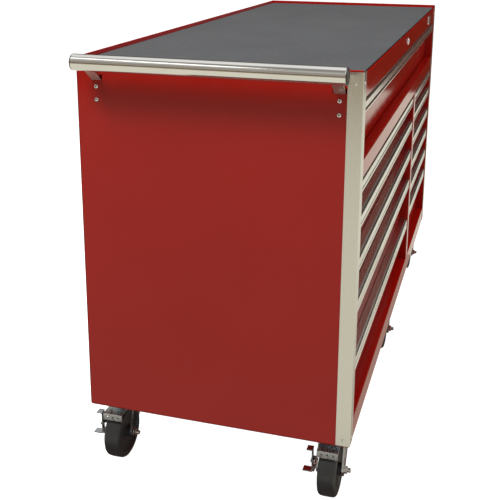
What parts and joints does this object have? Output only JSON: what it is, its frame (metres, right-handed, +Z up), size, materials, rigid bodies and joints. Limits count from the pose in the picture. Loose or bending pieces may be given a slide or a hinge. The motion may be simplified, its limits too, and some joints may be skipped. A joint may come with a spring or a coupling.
{
  "type": "rolling tool chest",
  "caption": "Wide red rolling tool chest with a drawer across the top over two drawer banks, aluminium pulls, padded top, end push handle, keyed lock and heavy casters.",
  "frame": {"origin": "on the floor, under the middle of the whole chest's bounding box", "axes": "+Z up, +X along the width away from the handle end, -Y towards the person at the drawers"},
  "size_m": [2.0169, 0.754, 1.196],
  "materials": {
    "red_paint": "glossy powder coat over sheet steel",
    "grey_mat": "matt, lightly textured",
    "satin_stainless": "brushed along its length",
    "polished_tube": "polished",
    "satin_aluminium": "satin extrusion",
    "black_plastic": "satin",
    "bright_fasteners": "bright plated",
    "lock_chrome": "polished",
    "zinc_steel": "bright zinc plated",
    "black_tread": "moulded, satin"
  },
  "bodies": {
    "cabinet": {"left_side_panel": "red_paint", "right_side_panel": "red_paint", "inner_walls": "red_paint", "back_panel": "red_paint", "top_panel": "red_paint", "bottom_pan": "red_paint", "header_rail": "red_paint", "mid_rail": "red_paint", "base_rail": "red_paint", "center_divider": "red_paint", "top_mat": "grey_mat", "corner_trims": "satin_stainless", "handle_brackets": "satin_stainless", "handle_tube": "polished_tube", "handle_end_caps": "black_plastic", "trim_rivets": "bright_fasteners", "handle_screws": "bright_fasteners", "caster_bolts": "bright_fasteners", "lock_housing": "lock_chrome", "slide_rails": "zinc_steel", "caster_plates": "zinc_steel", "rigid_caster_forks": "zinc_steel"},
    "top_drawer": {"top_drawer_box": "red_paint", "top_drawer_pull": "satin_aluminium"},
    "left_drawer_1": {"left_drawer_1_box": "red_paint", "left_drawer_1_pull": "satin_aluminium"},
    "left_drawer_2": {"left_drawer_2_box": "red_paint", "left_drawer_2_pull": "satin_aluminium"},
    "left_drawer_3": {"left_drawer_3_box": "red_paint", "left_drawer_3_pull": "satin_aluminium"},
    "left_drawer_4": {"left_drawer_4_box": "red_paint", "left_drawer_4_pull": "satin_aluminium"},
    "left_drawer_5": {"left_drawer_5_box": "red_paint", "left_drawer_5_pull": "satin_aluminium"},
    "right_drawer_1": {"right_drawer_1_box": "red_paint", "right_drawer_1_pull": "satin_aluminium"},
    "right_drawer_2": {"right_drawer_2_box": "red_paint", "right_drawer_2_pull": "satin_aluminium"},
    "right_drawer_3": {"right_drawer_3_box": "red_paint", "right_drawer_3_pull": "satin_aluminium"},
    "right_drawer_4": {"right_drawer_4_box": "red_paint", "right_drawer_4_pull": "satin_aluminium"},
    "right_drawer_5": {"right_drawer_5_box": "red_paint", "right_drawer_5_pull": "satin_aluminium"},
    "right_drawer_6": {"right_drawer_6_box": "red_paint", "right_drawer_6_pull": "satin_aluminium"},
    "lock_plug": {"lock_plug": "lock_chrome", "lock_cam": "zinc_steel"},
    "front_left_fork": {"front_left_fork": "zinc_steel"},
    "front_left_wheel": {"front_left_wheel": "black_tread"},
    "front_left_brake": {"front_left_brake": "zinc_steel"},
    "rear_left_fork": {"rear_left_fork": "zinc_steel"},
    "rear_left_wheel": {"rear_left_wheel": "black_tread"},
    "rear_left_brake": {"rear_left_brake": "zinc_steel"},
    "front_right_fork": {"front_right_fork": "zinc_steel"},
    "front_right_wheel": {"front_right_wheel": "black_tread"},
    "rear_right_fork": {"rear_right_fork": "zinc_steel"},
    "rear_right_wheel": {"rear_right_wheel": "black_tread"},
    "front_middle_wheel": {"front_middle_wheel": "black_tread"},
    "rear_middle_wheel": {"rear_middle_wheel": "black_tread"}
  },
  "joints": [
    {"name": "top_drawer_slide", "type": "slide", "parent": "cabinet", "child": "top_drawer", "axis": [0, -1, 0], "range_m": [0, 0.48]},
    {"name": "left_drawer_1_slide", "type": "slide", "parent": "cabinet", "child": "left_drawer_1", "axis": [0, -1, 0], "range_m": [0, 0.48]},
    {"name": "left_drawer_2_slide", "type": "slide", "parent": "cabinet", "child": "left_drawer_2", "axis": [0, -1, 0], "range_m": [0, 0.48]},
    {"name": "left_drawer_3_slide", "type": "slide", "parent": "cabinet", "child": "left_drawer_3", "axis": [0, -1, 0], "range_m": [0, 0.48]},
    {"name": "left_drawer_4_slide", "type": "slide", "parent": "cabinet", "child": "left_drawer_4", "axis": [0, -1, 0], "range_m": [0, 0.48]},
    {"name": "left_drawer_5_slide", "type": "slide", "parent": "cabinet", "child": "left_drawer_5", "axis": [0, -1, 0], "range_m": [0, 0.48]},
    {"name": "right_drawer_1_slide", "type": "slide", "parent": "cabinet", "child": "right_drawer_1", "axis": [0, -1, 0], "range_m": [0, 0.48]},
    {"name": "right_drawer_2_slide", "type": "slide", "parent": "cabinet", "child": "right_drawer_2", "axis": [0, -1, 0], "range_m": [0, 0.48]},
    {"name": "right_drawer_3_slide", "type": "slide", "parent": "cabinet", "child": "right_drawer_3", "axis": [0, -1, 0], "range_m": [0, 0.48]},
    {"name": "right_drawer_4_slide", "type": "slide", "parent": "cabinet", "child": "right_drawer_4", "axis": [0, -1, 0], "range_m": [0, 0.48]},
    {"name": "right_drawer_5_slide", "type": "slide", "parent": "cabinet", "child": "right_drawer_5", "axis": [0, -1, 0], "range_m": [0, 0.48]},
    {"name": "right_drawer_6_slide", "type": "slide", "parent": "cabinet", "child": "right_drawer_6", "axis": [0, -1, 0], "range_m": [0, 0.48]},
    {"name": "lock_turn", "type": "hinge", "parent": "cabinet", "child": "lock_plug", "pos_m": [-0.0065, -0.373, 1.14], "axis": [0, 1, 0], "range_deg": [0, 90]},
    {"name": "front_left_swivel", "type": "hinge", "parent": "cabinet", "child": "front_left_fork", "pos_m": [-0.8115, -0.313, 0.166], "axis": [0, 0, 1], "continuous": true},
    {"name": "front_left_roll", "type": "hinge", "parent": "front_left_fork", "child": "front_left_wheel", "pos_m": [-0.8535, -0.313, 0.076], "axis": [0, 1, 0], "continuous": true},
    {"name": "front_left_brake_press", "type": "hinge", "parent": "front_left_fork", "child": "front_left_brake", "pos_m": [-0.8845, -0.2685, 0.11], "axis": [-1, 0, 0], "range_deg": [0, 12]},
    {"name": "rear_left_swivel", "type": "hinge", "parent": "cabinet", "child": "rear_left_fork", "pos_m": [-0.8115, 0.307, 0.166], "axis": [0, 0, 1], "continuous": true},
    {"name": "rear_left_roll", "type": "hinge", "parent": "rear_left_fork", "child": "rear_left_wheel", "pos_m": [-0.8535, 0.307, 0.076], "axis": [0, 1, 0], "continuous": true},
    {"name": "rear_left_brake_press", "type": "hinge", "parent": "rear_left_fork", "child": "rear_left_brake", "pos_m": [-0.8845, 0.3515, 0.11], "axis": [-1, 0, 0], "range_deg": [0, 12]},
    {"name": "front_right_swivel", "type": "hinge", "parent": "cabinet", "child": "front_right_fork", "pos_m": [0.8925, -0.313, 0.166], "axis": [0, 0, 1], "continuous": true},
    {"name": "front_right_roll", "type": "hinge", "parent": "front_right_fork", "child": "front_right_wheel", "pos_m": [0.8505, -0.313, 0.076], "axis": [0, 1, 0], "continuous": true},
    {"name": "rear_right_swivel", "type": "hinge", "parent": "cabinet", "child": "rear_right_fork", "pos_m": [0.8925, 0.307, 0.166], "axis": [0, 0, 1], "continuous": true},
    {"name": "rear_right_roll", "type": "hinge", "parent": "rear_right_fork", "child": "rear_right_wheel", "pos_m": [0.8505, 0.307, 0.076], "axis": [0, 1, 0], "continuous": true},
    {"name": "front_middle_roll", "type": "hinge", "parent": "cabinet", "child": "front_middle_wheel", "pos_m": [0.0405, -0.313, 0.076], "axis": [0, 1, 0], "continuous": true},
    {"name": "rear_middle_roll", "type": "hinge", "parent": "cabinet", "child": "rear_middle_wheel", "pos_m": [0.0405, 0.307, 0.076], "axis": [0, 1, 0], "continuous": true}
  ]
}
